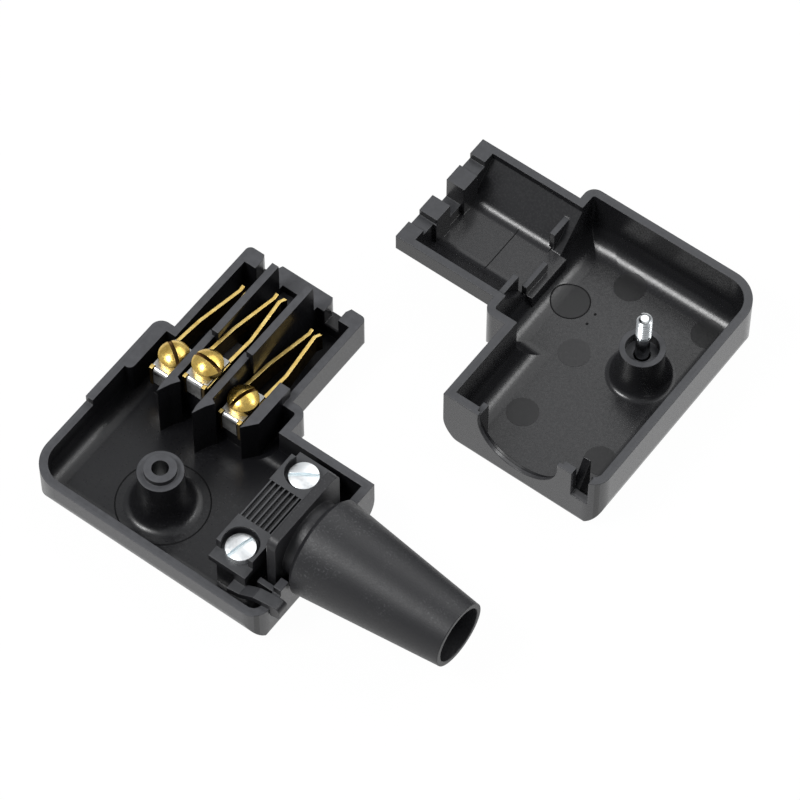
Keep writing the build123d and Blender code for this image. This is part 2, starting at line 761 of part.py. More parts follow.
def cord_clamp():
    """Ribbed clamp bar with lower screw seats at both ends and a strap hooked over the end wall."""
    left = CLAMP_X - CLAMP_WIDTH / 2
    right = CLAMP_X + CLAMP_WIDTH / 2
    bar = block(left, right, CLAMP_NEAR, CLAMP_FAR, CLAMP_LOW, CLAMP_TOP)
    cuts = []
    for y, end in zip(clamp_places(), (CLAMP_FAR, CLAMP_NEAR)):
        hand = 1 if end > y else -1
        y0, y1 = sorted((y + hand * CLAMP_SEAT_OPEN, end + hand * CUT))
        cuts.append(block(left - CUT, right + CUT, y0, y1, CLAMP_SEAT, TALL))
        cuts.append(post(CLAMP_X, y, CLAMP_SEAT_R, CLAMP_SEAT, TALL))
        cuts.append(post(CLAMP_X, y, CLAMP_SHANK_R + FIT, 0, TALL))
    panel_x = CLAMP_X + RIB_PANEL_SHIFT
    panel_half = RIB_PITCH * RIB_COUNT / 2
    panel_near = (CLAMP_NEAR + CLAMP_FAR - RIB_PANEL_LENGTH) / 2
    panel_far = panel_near + RIB_PANEL_LENGTH
    panel_low = CLAMP_TOP - RIB_DEPTH
    cuts.append(block(panel_x - panel_half, panel_x + panel_half, panel_near, panel_far, panel_low, TALL))
    bar -= cuts
    pieces = []
    for index in range(RIB_COUNT):
        x = panel_x + (index - (RIB_COUNT - 1) / 2) * RIB_PITCH
        rib = block(x - RIB_WIDTH / 2, x + RIB_WIDTH / 2, panel_near, panel_far, CLAMP_LOW + CUT, CLAMP_TOP)
        pieces.append(rib)
    root_start = right - STRAP_ROOT
    root_far = clamp_places()[1] - CLAMP_POST_WIDTH / 2 - FIT
    pieces.append(block(root_start, right, CLAMP_NEAR, root_far, LOW_RIM - STRAP_SAG, CLAMP_LOW + CUT))
    pieces.append(strap(root_start, right))
    return bar + pieces


def strap(start, bend):
    """Thin strap from under the clamp bar, rising over the low rim and hooked outside the end wall."""
    low = LOW_RIM - STRAP_SAG
    top = LOW_RIM + STRAP_THICKNESS
    hook_start = ARM_REACH + FIT
    end = hook_start + STRAP_HOOK_LENGTH
    side = outline(
        (start, low),
        (bend, low),
        (bend + STRAP_RISE, LOW_RIM),
        (hook_start, LOW_RIM),
        (hook_start, LOW_RIM - STRAP_HOOK_DROP),
        (end, LOW_RIM - STRAP_HOOK_DROP),
        (end, top),
        (bend + STRAP_RISE, top),
        (bend, low + STRAP_THICKNESS),
        (start, low + STRAP_THICKNESS),
    )
    side = round_corners(side, [((end, top), STRAP_THICKNESS)])
    near = STRAP_Y - (STRAP_WIDTH + STRAP_SWAY) / 2
    far = near + STRAP_WIDTH
    plan = outline((start, near), (end, near + STRAP_SWAY), (end, far + STRAP_SWAY), (start, far))
    return along_y(side, near, far + STRAP_SWAY) & along_z(plan, 0, TALL)


def clamp_screw(y, slot_angle):
    """Screw of the cable clamp, its head in a seat of the bar."""
    length = CLAMP_SEAT - CLAMP_LOW + CLAMP_BITE
    screw = slotted_screw(CLAMP_HEAD_R, CLAMP_HEAD_EDGE, CLAMP_DOME, CLAMP_SHANK_R, length, slot_angle)
    return Pos(CLAMP_X, y, CLAMP_SEAT) * screw


def cord_sleeve():
    """Tapered cable sleeve with a groove for the end wall and a square collar inside it."""
    start = ARM_REACH + FIT
    tip = start + SLEEVE_LENGTH
    collar_inner = ARM_REACH - COLLAR_SETBACK
    profile = outline(
        (collar_inner, SLEEVE_BORE_R),
        (collar_inner, SLEEVE_WAIST_R),
        (start, SLEEVE_WAIST_R),
        (start, SLEEVE_LARGE_R - SLEEVE_RIM),
        (start + SLEEVE_RIM, SLEEVE_LARGE_R),
        (tip, SLEEVE_SMALL_R),
        (tip, SLEEVE_BORE_R),
    )
    body = Pos(0, 0, CABLE_HEIGHT) * revolve(profile, Axis.X)
    half = COLLAR_HALF
    top = CABLE_HEIGHT + half
    corners = [(-half, FLOOR), (half, FLOOR), (half, top), (-half, top)]
    collar = round_corners(outline(*corners), [(corner, COLLAR_CORNER_R) for corner in corners])
    plate = along_x(collar, collar_inner, collar_inner + COLLAR_THICKNESS)
    plate -= cable_round(SLEEVE_WAIST_R - FIT, CABLE_HEIGHT, 0, tip)
    return body + plate


far_place, near_place = clamp_places()
nodes = {
    "base_shell": base_shell(),
    "cover_shell": lay_open(cover_shell()),
    "cord_sleeve": cord_sleeve(),
    "cord_clamp": cord_clamp(),
    "clamp_screw_far": clamp_screw(far_place, FAR_CLAMP_SLOT),
    "clamp_screw_near": clamp_screw(near_place, NEAR_CLAMP_SLOT),
    "cover_screw": lay_open(cover_screw()),
    "cover_nut": cover_nut(),
    "line_contact": contact(-1),
    "earth_contact": contact(0),
    "neutral_contact": contact(1),
    "line_clamp_plate": clamp_plate(-1),
    "earth_clamp_plate": clamp_plate(0),
    "neutral_clamp_plate": clamp_plate(1),
    "line_terminal_screw": terminal_screw(-1, LINE_SLOT),
    "earth_terminal_screw": terminal_screw(0, EARTH_SLOT),
    "neutral_terminal_screw": terminal_screw(1, NEUTRAL_SLOT),
}

os.makedirs("parts", exist_ok=True)
for name, shape in nodes.items():
    export_step(shape, f"parts/{name}.step")
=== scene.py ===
import math

import bmesh
import bpy
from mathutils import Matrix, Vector


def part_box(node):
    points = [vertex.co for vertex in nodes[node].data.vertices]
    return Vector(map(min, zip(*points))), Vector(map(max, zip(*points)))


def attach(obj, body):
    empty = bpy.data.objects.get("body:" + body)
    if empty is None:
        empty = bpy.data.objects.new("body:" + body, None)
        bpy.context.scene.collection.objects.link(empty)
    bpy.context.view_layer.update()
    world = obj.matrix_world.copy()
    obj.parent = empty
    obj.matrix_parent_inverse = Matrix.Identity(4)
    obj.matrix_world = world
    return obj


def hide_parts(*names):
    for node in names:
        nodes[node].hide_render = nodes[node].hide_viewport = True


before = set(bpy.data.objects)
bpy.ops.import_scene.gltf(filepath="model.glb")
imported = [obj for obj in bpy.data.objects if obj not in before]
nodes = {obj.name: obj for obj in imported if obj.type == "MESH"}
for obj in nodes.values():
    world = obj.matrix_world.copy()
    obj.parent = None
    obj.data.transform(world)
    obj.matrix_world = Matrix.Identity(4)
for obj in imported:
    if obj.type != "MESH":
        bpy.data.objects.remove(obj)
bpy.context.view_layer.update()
scene = bpy.context.scene
MM = 0.001

# Noise scales per metre.
TOP_PATCH_SCALE = 900
SPECK_SCALE = 3000
PATCH_SCALE = 130
GLOSS_SCALE = 2600
WAVE_SCALE = 160
GRAIN_SCALE = 4200
STAIN_SCALE = 700
STRIP_STAIN_SCALE = 900
DRAWN_SCALE = 2600

# Plastic: where rims turn from plain to rougher and paler, the paleness partly painted light, by height
# and by how squarely a face looks up, then the share of it in random patches.
RIM_HEIGHTS = (5.8 * MM, 8.0 * MM)
RIM_FACING = (0.75, 0.97)
TOP_PATCH_SHARES = (0.7, 1.0)
# Plastic: the stretch of y over which the base's shine fades, and how much of it goes.
SHADE_SPAN = (1.0 * MM, 10.0 * MM)
SHADE_DULLING = 0.8
# Plastic: the outer skin's colour, and the facing below which a face belongs to it.
OUTER_COLOUR = (0.036, 0.036, 0.038)
LOOKS_DOWN = -0.02
# Plastic: specks in patches, with the noise values over which each begins.
SPECK_COLOUR = (0.075, 0.076, 0.080)
SPECK_SPAN = (0.56, 0.70)
PATCH_SPAN = (0.45, 0.65)
# Plastic: swing of the roughness, height of the waves against the grain, and depth of both.
GLOSS_SWING = 0.05
WAVE_HEIGHT = 4.0
PLASTIC_GRAIN = 4.0e-6

# Metal: how squarely a strip's face looks up where it turns from its painted shade to bright, then
# grain.
STRIP_FACING = (0.3, 0.8)
STRIP_STRETCH = (1, 0.15, 1)
METAL_GRAIN = 2.0e-6
SHANK_GRAIN = 1.0e-6

# Radii of edges that the materials soften.
EDGE = 0.22 * MM
SLEEVE_EDGE = 0.3 * MM
CLAMP_EDGE = 0.15 * MM
METAL_EDGE = 0.1 * MM
MARK_EDGE = 0.02 * MM
FINE_EDGE = 0.01 * MM
BEVEL_SAMPLES = 6

# Sockets of a Mix node set to colours.
MIX_SHARE, MIX_LOW, MIX_HIGH, MIX_RESULT = 0, 6, 7, 2


def new_material(name):
    """Node material with a Principled shader; returns material, tree, shader."""
    material = bpy.data.materials.new(name)
    material.use_nodes = True
    tree = material.node_tree
    return material, tree, tree.nodes["Principled BSDF"]


def place_coords(tree, scale=(1, 1, 1)):
    """Object coordinates in metres, stretched by scale."""
    coords = tree.nodes.new("ShaderNodeTexCoord")
    mapping = tree.nodes.new("ShaderNodeMapping")
    mapping.inputs["Scale"].default_value = scale
    tree.links.new(coords.outputs["Object"], mapping.inputs["Vector"])
    return mapping.outputs["Vector"]


def surface_axes(tree, output):
    """X, Y and Z of the surface's position or normal."""
    geometry = tree.nodes.new("ShaderNodeNewGeometry")
    axes = tree.nodes.new("ShaderNodeSeparateXYZ")
    tree.links.new(geometry.outputs[output], axes.inputs[0])
    return axes.outputs


def noise(tree, vector, scale, detail=2.0):
    """Noise texture value at a scale per metre."""
    node = tree.nodes.new("ShaderNodeTexNoise")
    node.inputs["Scale"].default_value = scale
    node.inputs["Detail"].default_value = detail
    tree.links.new(vector, node.inputs["Vector"])
    return node.outputs["Fac"]


def spread(tree, value, low, high, start=0.3, end=0.7):
    """Value between start and end stretched to a range."""
    node = tree.nodes.new("ShaderNodeMapRange")
    node.inputs["From Min"].default_value = start
    node.inputs["From Max"].default_value = end
    node.inputs["To Min"].default_value = low
    node.inputs["To Max"].default_value = high
    tree.links.new(value, node.inputs["Value"])
    return node.outputs["Result"]


def combine(tree, operation, first, second):
    """Two values joined by a maths operation; either may be a number."""
    node = tree.nodes.new("ShaderNodeMath")
    node.operation = operation
    for socket, value in zip(node.inputs, (first, second)):
        if isinstance(value, (int, float)):
            socket.default_value = value
        else:
            tree.links.new(value, socket)
    return node.outputs["Value"]


def blend_colours(tree, share, low, high):
    """Colour between two colours by a share; each is a triple or a socket."""
    node = tree.nodes.new("ShaderNodeMix")
    node.data_type = "RGBA"
    for socket, colour in ((node.inputs[MIX_LOW], low), (node.inputs[MIX_HIGH], high)):
        if isinstance(colour, tuple):
            socket.default_value = (*colour, 1)
        else:
            tree.links.new(colour, socket)
    tree.links.new(share, node.inputs[MIX_SHARE])
    return node.outputs[MIX_RESULT]


def add_bump(tree, shader, height, distance, edge):
    """Bump on the shader's normal over edges softened by a radius in metres."""
    bevel = tree.nodes.new("ShaderNodeBevel")
    bevel.samples = BEVEL_SAMPLES
    bevel.inputs["Radius"].default_value = edge
    bump = tree.nodes.new("ShaderNodeBump")
    bump.inputs["Distance"].default_value = distance
    tree.links.new(height, bump.inputs["Height"])
    tree.links.new(bevel.outputs["Normal"], bump.inputs["Normal"])
    tree.links.new(bump.outputs["Normal"], shader.inputs["Normal"])


def box_mm(low, high):
    """Two corners of a box in mm, turned to metres."""
    return Vector(low) * MM, Vector(high) * MM


def rim_share(tree):
    """One on upward faces that stand above the floors, which are made rougher and paler, the paleness
    partly painted light.
    """
    high = spread(tree, surface_axes(tree, "Position")["Z"], 0.0, 1.0, *RIM_HEIGHTS)
    up = spread(tree, surface_axes(tree, "True Normal")["Z"], 0.0, 1.0, *RIM_FACING)
    return combine(tree, "MULTIPLY", high, up)


def box_share(tree, low, high):
    """One inside a box given by two corners in metres."""
    place = surface_axes(tree, "Position")
    share = 1.0
    for axis, start, end in zip("XYZ", low, high):
        after = combine(tree, "GREATER_THAN", place[axis], start)
        before = combine(tree, "LESS_THAN", place[axis], end)
        share = combine(tree, "MULTIPLY", combine(tree, "MULTIPLY", share, after), before)
    return share


def shade_share(tree, boxes):
    """One inside any of the boxes, growing from the middle of the base toward its mouth."""
    share = 0.0
    for low, high in boxes:
        share = combine(tree, "MAXIMUM", share, box_share(tree, low, high))
    toward = spread(tree, surface_axes(tree, "Position")["Y"], 0.0, 1.0, *SHADE_SPAN)
    return combine(tree, "MULTIPLY", share, toward)


def outer_share(tree, boxes):
    """One on a half's outer skin: faces that look down, or lie outside all the boxes."""
    share = 1.0
    for low, high in boxes:
        outside = combine(tree, "SUBTRACT", 1.0, box_share(tree, low, high))
        share = combine(tree, "MULTIPLY", share, outside)
    down = combine(tree, "LESS_THAN", surface_axes(tree, "True Normal")["Z"], LOOKS_DOWN)
    return combine(tree, "MAXIMUM", share, down)


def moulded_plastic(
    name,
    dark,
    matte_and_lit_top,
    rough,
    top_rough,
    edge,
    grain=PLASTIC_GRAIN,
    speckle=0.15,
    shine=0.5,
    painted_light_boxes=(),
    shaded=(),
    inner=(),
):
    """Black moulded plastic, paler and rougher on its rims, the paleness partly painted light, with
    mould grain and softened edges.

    The boxes of painted light and shade give colours of their own, those in shaded a duller shine, and
    what lies outside those in inner is the paler outer skin.
    """
    material, tree, shader = new_material(name)
    vector = place_coords(tree)
    # Faces that look up above the floors are rougher for a matte finish and paler, partly for that
    # finish and partly as painted light, in random patches.
    rims = rim_share(tree)
    top_patches = spread(tree, noise(tree, vector, TOP_PATCH_SCALE, detail=4), *TOP_PATCH_SHARES)
    share = combine(tree, "MULTIPLY", rims, top_patches)
    body = blend_colours(tree, outer_share(tree, inner), dark, OUTER_COLOUR) if inner else dark
    tint = blend_colours(tree, share, body, matte_and_lit_top)
    specks = spread(tree, noise(tree, vector, SPECK_SCALE), 0.0, speckle, *SPECK_SPAN)
    patches = spread(tree, noise(tree, vector, PATCH_SCALE), 0.0, 1.0, *PATCH_SPAN)
    tint = blend_colours(tree, combine(tree, "MULTIPLY", specks, patches), tint, SPECK_COLOUR)
    # Boxes of painted light and shade, each with a colour of its own.
    for low, high, colour in painted_light_boxes:
        tint = blend_colours(tree, box_share(tree, low, high), tint, colour)
    tree.links.new(tint, shader.inputs["Base Color"])
    fine = noise(tree, vector, GLOSS_SCALE, detail=3)
    base_rough = spread(tree, fine, rough - GLOSS_SWING, rough + GLOSS_SWING)
    rise = combine(tree, "MULTIPLY", share, top_rough - rough)
    tree.links.new(combine(tree, "ADD", base_rough, rise), shader.inputs["Roughness"])
    below_rims = combine(tree, "SUBTRACT", 1.0, rims)
    dull = combine(tree, "MULTIPLY", shade_share(tree, shaded), below_rims)
    loss = combine(tree, "MULTIPLY", dull, SHADE_DULLING * shine)
    level = combine(tree, "SUBTRACT", shine, loss)
    tree.links.new(level, shader.inputs["Specular IOR Level"])
    wave = combine(tree, "MULTIPLY", noise(tree, vector, WAVE_SCALE), WAVE_HEIGHT)
    height = combine(tree, "ADD", noise(tree, vector, GRAIN_SCALE, detail=3), wave)
    add_bump(tree, shader, height, grain, edge)
    return material


def mark_plastic(name, colour, rough, shine):
    """Plain dark plastic of the fine marks on the floors."""
    return moulded_plastic(name, colour, colour, rough, rough, MARK_EDGE, speckle=0.0, shine=shine)


def drawn_metal(tree, shader, colour, rough, stretch, grain, edge):
    """Make the shader a metal of a colour, with a fine drawn grain."""
    tree.links.new(colour, shader.inputs["Base Color"])
    drawn = noise(tree, place_coords(tree, stretch), DRAWN_SCALE)
    tree.links.new(spread(tree, drawn, *rough), shader.inputs["Roughness"])
    shader.inputs["Metallic"].default_value = 1.0
    add_bump(tree, shader, drawn, grain, edge)


def metal(name, low, high, rough, stretch=(1, 1, 1), grain=METAL_GRAIN, edge=METAL_EDGE):
    """Metal with a fine drawn grain and faint stains between two colours."""
    material, tree, shader = new_material(name)
    stains = spread(tree, noise(tree, place_coords(tree), STAIN_SCALE, detail=4), 0.0, 1.0)
    colour = blend_colours(tree, stains, low, high)
    drawn_metal(tree, shader, colour, rough, stretch, grain, edge)
    return material


def strip_metal(name, side_colours, edge_colours, rough):
    """Rolled strip: darker on its upright faces as painted shade, bright on its cut upper edges."""
    material, tree, shader = new_material(name)
    stains = spread(tree, noise(tree, place_coords(tree), STRIP_STAIN_SCALE, detail=4), 0.0, 1.0)
    up = spread(tree, surface_axes(tree, "True Normal")["Z"], 0.0, 1.0, *STRIP_FACING)
    sides = blend_colours(tree, stains, *side_colours)
    edges = blend_colours(tree, stains, *edge_colours)
    colour = blend_colours(tree, up, sides, edges)
    drawn_metal(tree, shader, colour, rough, STRIP_STRETCH, METAL_GRAIN, METAL_EDGE)
    return material


# In each look, the colour for the rims' tops is paler partly for a matte finish and partly as painted
# light.
BASE_LOOK = {
    "dark": (0.0065, 0.0065, 0.0075),
    "matte_and_lit_top": (0.050, 0.051, 0.056),
    "rough": 0.32,
    "top_rough": 0.50,
    "shine": 0.44,
    "shaded": (
        box_mm((-10.6, 15.0, 0.0), (10.6, 36.0, 16.0)),
        box_mm((-13.6, -5.0, 0.0), (13.6, 17.4, 16.0)),
        box_mm((13.5, -5.0, 0.0), (30.0, 12.9, 16.0)),
    ),
    "inner": (
        box_mm((-14.6, -15.2, 0.0), (31.1, 13.9, 20.0)),
        box_mm((-14.6, -15.2, 0.0), (14.6, 18.4, 20.0)),
        box_mm((-12.5, 15.0, 0.0), (12.5, 40.0, 20.0)),
    ),
}
COVER_LOOK = {
    "dark": (0.0115, 0.0115, 0.0127),
    "matte_and_lit_top": (0.044, 0.045, 0.049),
    "rough": 0.26,
    "top_rough": 0.50,
    "grain": 2.2e-6,
    "speckle": 0.04,
    "shine": 0.41,
    "inner": (
        box_mm((32.27, 33.45, 0.0), (61.37, 79.15, 20.0)),
        box_mm((27.77, 49.95, 0.0), (61.37, 79.15, 20.0)),
        box_mm((5.0, 52.05, 0.0), (31.17, 77.05, 20.0)),
    ),
}
SLEEVE_LOOK = {
    "dark": (0.012, 0.012, 0.0135),
    "matte_and_lit_top": (0.013, 0.013, 0.0145),
    "rough": 0.46,
    "top_rough": 0.48,
    "grain": 1.3e-5,
    "speckle": 0.55,
    "shine": 0.42,
}
CLAMP_LOOK = {
    "dark": (0.012, 0.012, 0.0135),
    "matte_and_lit_top": (0.036, 0.037, 0.040),
    "rough": 0.40,
    "top_rough": 0.50,
    "painted_light_boxes": (
        # Painted light and shade on the rib panel: the grooves between the ribs, then the paler ribs'
        # tops.
        (*box_mm((18.0, -3.9, 11.0), (25.4, 3.9, 12.36)), (0.032, 0.032, 0.034)),
        (*box_mm((18.0, -3.9, 12.36), (25.4, 3.9, 13.0)), (0.050, 0.051, 0.054)),
    ),
}
base_black = moulded_plastic("base_black", edge=EDGE, **BASE_LOOK)
base_foot_black = moulded_plastic("base_foot_black", edge=FINE_EDGE, **BASE_LOOK)
cover_black = moulded_plastic("cover_black", edge=EDGE, **COVER_LOOK)
cover_foot_black = moulded_plastic("cover_foot_black", edge=FINE_EDGE, **COVER_LOOK)
sleeve_black = moulded_plastic("sleeve_black", edge=SLEEVE_EDGE, **SLEEVE_LOOK)
clamp_black = moulded_plastic("clamp_black", edge=CLAMP_EDGE, **CLAMP_LOOK)
mark_black = mark_plastic("mark_black", (0.003, 0.003, 0.0034), rough=0.60, shine=0.12)
disc_black = mark_plastic("disc_black", (0.0045, 0.0045, 0.005), rough=0.40, shine=0.43)
faint_black = mark_plastic("faint_black", (0.0075, 0.0075, 0.0083), rough=0.32, shine=0.43)

brass = metal("brass", (0.62, 0.40, 0.09), (0.85, 0.61, 0.18), (0.20, 0.34))
# Brass strip: its dark side colours are painted shade, then the bright colours of its upper edges.
strip = strip_metal(
    "brass_strip",
    ((0.14, 0.09, 0.027), (0.24, 0.155, 0.045)),
    ((0.72, 0.49, 0.14), (0.92, 0.70, 0.26)),
    (0.26, 0.40),
)
zinc = metal("zinc", (0.88, 0.91, 0.92), (0.96, 0.97, 0.97), (0.32, 0.44))
thread = metal(
    "zinc_thread",
    (0.52, 0.54, 0.55),
    (0.74, 0.76, 0.77),
    (0.22, 0.32),
    grain=SHANK_GRAIN,
    edge=MARK_EDGE,
)
# The plain shank's zinc is darker as painted shade and a painted dark reflection.
shank = metal("zinc_shank_painted_shade", (0.30, 0.31, 0.32), (0.42, 0.43, 0.44), (0.16, 0.24), grain=SHANK_GRAIN)
# Screw slots, darker than their heads as painted shade: for brass, then for zinc.
brass_slot_shade = metal("brass_slot_shade", (0.10, 0.06, 0.022), (0.22, 0.13, 0.05), (0.45, 0.60), edge=MARK_EDGE)
slot_shade = metal("slot_shade", (0.76, 0.84, 0.87), (0.86, 0.92, 0.94), (0.40, 0.55), edge=MARK_EDGE)
tinned = metal("tinned", (0.36, 0.36, 0.35), (0.56, 0.56, 0.55), (0.25, 0.42), stretch=(0.2, 1, 1))

finishes = {
    "base_shell": base_black,
    "cover_shell": cover_black,
    "cord_sleeve": sleeve_black,
    "cord_clamp": clamp_black,
    "clamp_screw_far": zinc,
    "clamp_screw_near": zinc,
    "cover_screw": zinc,
    "cover_nut": zinc,
}
for name, obj in nodes.items():
    if name in finishes:
        finish = finishes[name]
    elif name.endswith("clamp_plate"):
        finish = tinned
    elif name.endswith("contact"):
        finish = strip
    else:
        finish = brass
    obj.data.materials.clear()
    obj.data.materials.append(finish)


def add_piece(name, mesh, finish, replaced=None):
    """Object from a mesh, riding on the part; may stand for a CAD node."""
    mesh.materials.clear()
    mesh.materials.append(finish)
    piece = bpy.data.objects.new(name, mesh)
    scene.collection.objects.link(piece)
    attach(piece, "root")
    if replaced:
        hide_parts(replaced)
    return piece


MERGE_DISTANCE = 1e-7


def mesh_from(work, name):
    """New mesh from a bmesh, which is freed."""
    mesh = bpy.data.meshes.new(name)
    work.to_mesh(mesh)
    work.free()
    return mesh


def smooth(mesh, degrees=38):
    """Smooth shading with sharp edges above an angle."""
    mesh.shade_smooth()
    mesh.set_sharp_from_angle(angle=math.radians(degrees))


def shift(mesh, x, y):
    """Move a mesh that was made about the z axis to its place."""
    for vertex in mesh.vertices:
        vertex.co.x += x
        vertex.co.y += y


def turned_mesh(name, profile, steps=72):
    """Mesh turned about the z axis from points of radius and height."""
    work = bmesh.new()
    points = [work.verts.new((radius, 0, height)) for radius, height in profile]
    edges = [work.edges.new(pair) for pair in zip(points, points[1:])]
    bmesh.ops.spin(
        work,
        geom=points + edges,
        axis=(0, 0, 1),
        cent=(0, 0, 0),
        angle=2 * math.pi,
        steps=steps,
        use_merge=True,
    )
    bmesh.ops.remove_doubles(work, verts=work.verts, dist=MERGE_DISTANCE)
    bmesh.ops.recalc_face_normals(work, faces=work.faces)
    return mesh_from(work, name)


def cut_slot(mesh, centre, size, angle):
    """Mesh with a straight slot cut out of it."""
    body = bpy.data.objects.new("slot_body", mesh)
    work = bmesh.new()
    bmesh.ops.create_cube(work, size=1.0)
    cutter = bpy.data.objects.new("slot_cutter", mesh_from(work, "slot_cutter"))
    cutter.location = centre
    cutter.scale = size
    cutter.rotation_euler = (0, 0, angle)
    for obj in (body, cutter):
        scene.collection.objects.link(obj)
    modifier = body.modifiers.new("slot", "BOOLEAN")
    modifier.operation = "DIFFERENCE"
    modifier.object = cutter
    bpy.context.view_layer.update()
    graph = bpy.context.evaluated_depsgraph_get()
    result = bpy.data.meshes.new_from_object(body.evaluated_get(graph))
    for obj in (body, cutter):
        bpy.data.objects.remove(obj)
    return result


# Screws: heads and slots, and how a slot's faces are told from the rest of the head.
DOME_STEPS = 10
SLOT_WIDTH = 0.65 * MM
DEEPEST_SLOT = 1.35 * MM
UNDER_SLOT = 0.95 * MM
SLOT_REACH = 3
SLOT_MARGIN = 0.01 * MM
SLOT_BOTTOM = 1.1
SLOT_FLOOR = 0.9
SQUARE_ON = 0.9
TERMINAL_HEAD = {"edge": 1.3 * MM, "dome": 1.1 * MM, "shank_r": 1.45 * MM}
CLAMP_HEAD = {"edge": 1.15 * MM, "dome": 0.35 * MM, "shank_r": 1.4 * MM}


def faces_in_slot(mesh, across, top, depth):
    """For each face, one on the walls and floor of a slot in a screw's top."""
    found = []
    for face in mesh.polygons:
        near = abs(face.center.dot(across)) < SLOT_WIDTH / 2 + SLOT_MARGIN
        inside = near and face.center.z > top - SLOT_BOTTOM * depth
        wall = abs(face.normal.dot(across)) > SQUARE_ON
        floor = face.normal.z > SQUARE_ON and face.center.z < top - SLOT_FLOOR * depth
        found.append(int(inside and (wall or floor)))
    return found


def domed_screw(node, slot_degrees, finish, slot_painted_shade, slot_name, edge, dome, shank_r):
    """Domed slotted screw in the place of a CAD screw, its slot darker than its head as painted shade.
    """
    low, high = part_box(node)
    middle = (Vector(low) + Vector(high)) / 2
    head_r = (high[0] - low[0]) / 2
    top = high[2]
    seat = top - edge - dome
    dome_r = (head_r**2 + dome**2) / (2 * dome)
    reach = math.asin(head_r / dome_r)
    profile = [(0, top)]
    for index in range(1, DOME_STEPS + 1):
        turn = reach * index / DOME_STEPS
        profile.append((dome_r * math.sin(turn), top - dome_r * (1 - math.cos(turn))))
    profile += [(head_r, seat), (shank_r, seat), (shank_r, low[2]), (0, low[2])]
    mesh = turned_mesh(node + "_turned", profile)
    slot_depth = min(edge + dome - UNDER_SLOT, DEEPEST_SLOT)
    turn = math.radians(slot_degrees)
    mesh = cut_slot(mesh, (0, 0, top), (SLOT_REACH * head_r, SLOT_WIDTH, 2 * slot_depth), turn)
    across = Vector((-math.sin(turn), math.cos(turn), 0))
    in_slot = faces_in_slot(mesh, across, top, slot_depth)
    shift(mesh, middle.x, middle.y)
    smooth(mesh)
    piece = add_piece(node + "_domed", mesh, finish, node)
    # The slot's walls and floor take the darker material, painted shade in the slot.
    piece.data.materials.append(slot_painted_shade)
    for face, index in zip(mesh.polygons, in_slot):
        face.material_index = index


# Turn of each screw's slot in degrees.
TERMINAL_SLOTS = {"line_terminal_screw": -34, "earth_terminal_screw": -4, "neutral_terminal_screw": 76}
CLAMP_SLOTS = {"clamp_screw_far": 34, "clamp_screw_near": 77}
for node, degrees in TERMINAL_SLOTS.items():
    domed_screw(node, degrees, brass, brass_slot_shade, "brass", **TERMINAL_HEAD)
for node, degrees in CLAMP_SLOTS.items():
    domed_screw(node, degrees, zinc, slot_shade, "zinc", **CLAMP_HEAD)

# Cover screw: radii and heights, and the thread's four corners with their rise as a share of the pitch.
CREST = 1.3 * MM
ROOT = 0.98 * MM
PITCH = 0.6 * MM
SHOULDER = 3.0 * MM
THREAD_START = 13.4 * MM
TIP_CHAMFER = 0.3 * MM
SHANK_RELIEF = 0.1 * MM
ROOT_SINK = 0.05 * MM
THREAD_STEPS = 40
THREAD_CORNERS = ((ROOT - ROOT_SINK, 0.0), (CREST, 0.42), (CREST, 0.55), (ROOT - ROOT_SINK, 0.97))
HEAD_SLOT_WIDTH = 0.8 * MM
HEAD_SLOT_HEIGHT = 1.8 * MM


def add_thread(work, end):
    """Closed helical thread about the z axis, from its start up to a height."""
    count = int((end - THREAD_START) / PITCH * THREAD_STEPS)
    previous = None
    for index in range(count):
        turn = 2 * math.pi * index / THREAD_STEPS
        height = THREAD_START + PITCH * index / THREAD_STEPS
        row = []
        for radius, rise in THREAD_CORNERS:
            corner = (radius * math.cos(turn), radius * math.sin(turn), height + rise * PITCH)
            row.append(work.verts.new(corner))
        if previous:
            for place in range(4):
                after = (place + 1) % 4
                work.faces.new((previous[place], row[place], row[after], previous[after]))
        else:
            work.faces.new(row)
        previous = row
    work.faces.new(previous)
    bmesh.ops.recalc_face_normals(work, faces=work.faces)


def threaded_screw(node, finish):
    """Cover screw with a plain shank and a cut thread above it, standing on its head."""
    low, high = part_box(node)
    middle = (Vector(low) + Vector(high)) / 2
    head_r = (high[0] - low[0]) / 2
    tip = high[2]
    chamfer = CREST - ROOT + TIP_CHAMFER
    profile = [
        (0, tip),
        (ROOT - TIP_CHAMFER, tip),
        (ROOT, tip - chamfer),
        (ROOT, THREAD_START),
        (CREST - SHANK_RELIEF, THREAD_START),
        (CREST - SHANK_RELIEF, SHOULDER),
        (head_r, SHOULDER),
        (head_r, low[2]),
        (0, low[2]),
    ]
    mesh = turned_mesh(node + "_turned", profile)
    mesh = cut_slot(mesh, (0, 0, low[2]), (SLOT_REACH * head_r, HEAD_SLOT_WIDTH, HEAD_SLOT_HEIGHT), 0)
    work = bmesh.new()
    work.from_mesh(mesh)
    add_thread(work, tip - chamfer)
    bmesh.ops.translate(work, vec=(middle.x, middle.y, 0), verts=work.verts)
    work.to_mesh(mesh)
    work.free()
    smooth(mesh, degrees=30)
    piece = add_piece(node + "_threaded", mesh, finish, node)
    # The plain shank takes the darker zinc of painted shade, the thread its own zinc.
    piece.data.materials.append(shank)
    piece.data.materials.append(thread)
    for face in mesh.polygons:
        if face.center.z > THREAD_START:
            face.material_index = 2
        elif face.center.z > SHOULDER:
            face.material_index = 1


threaded_screw("cover_screw", zinc)

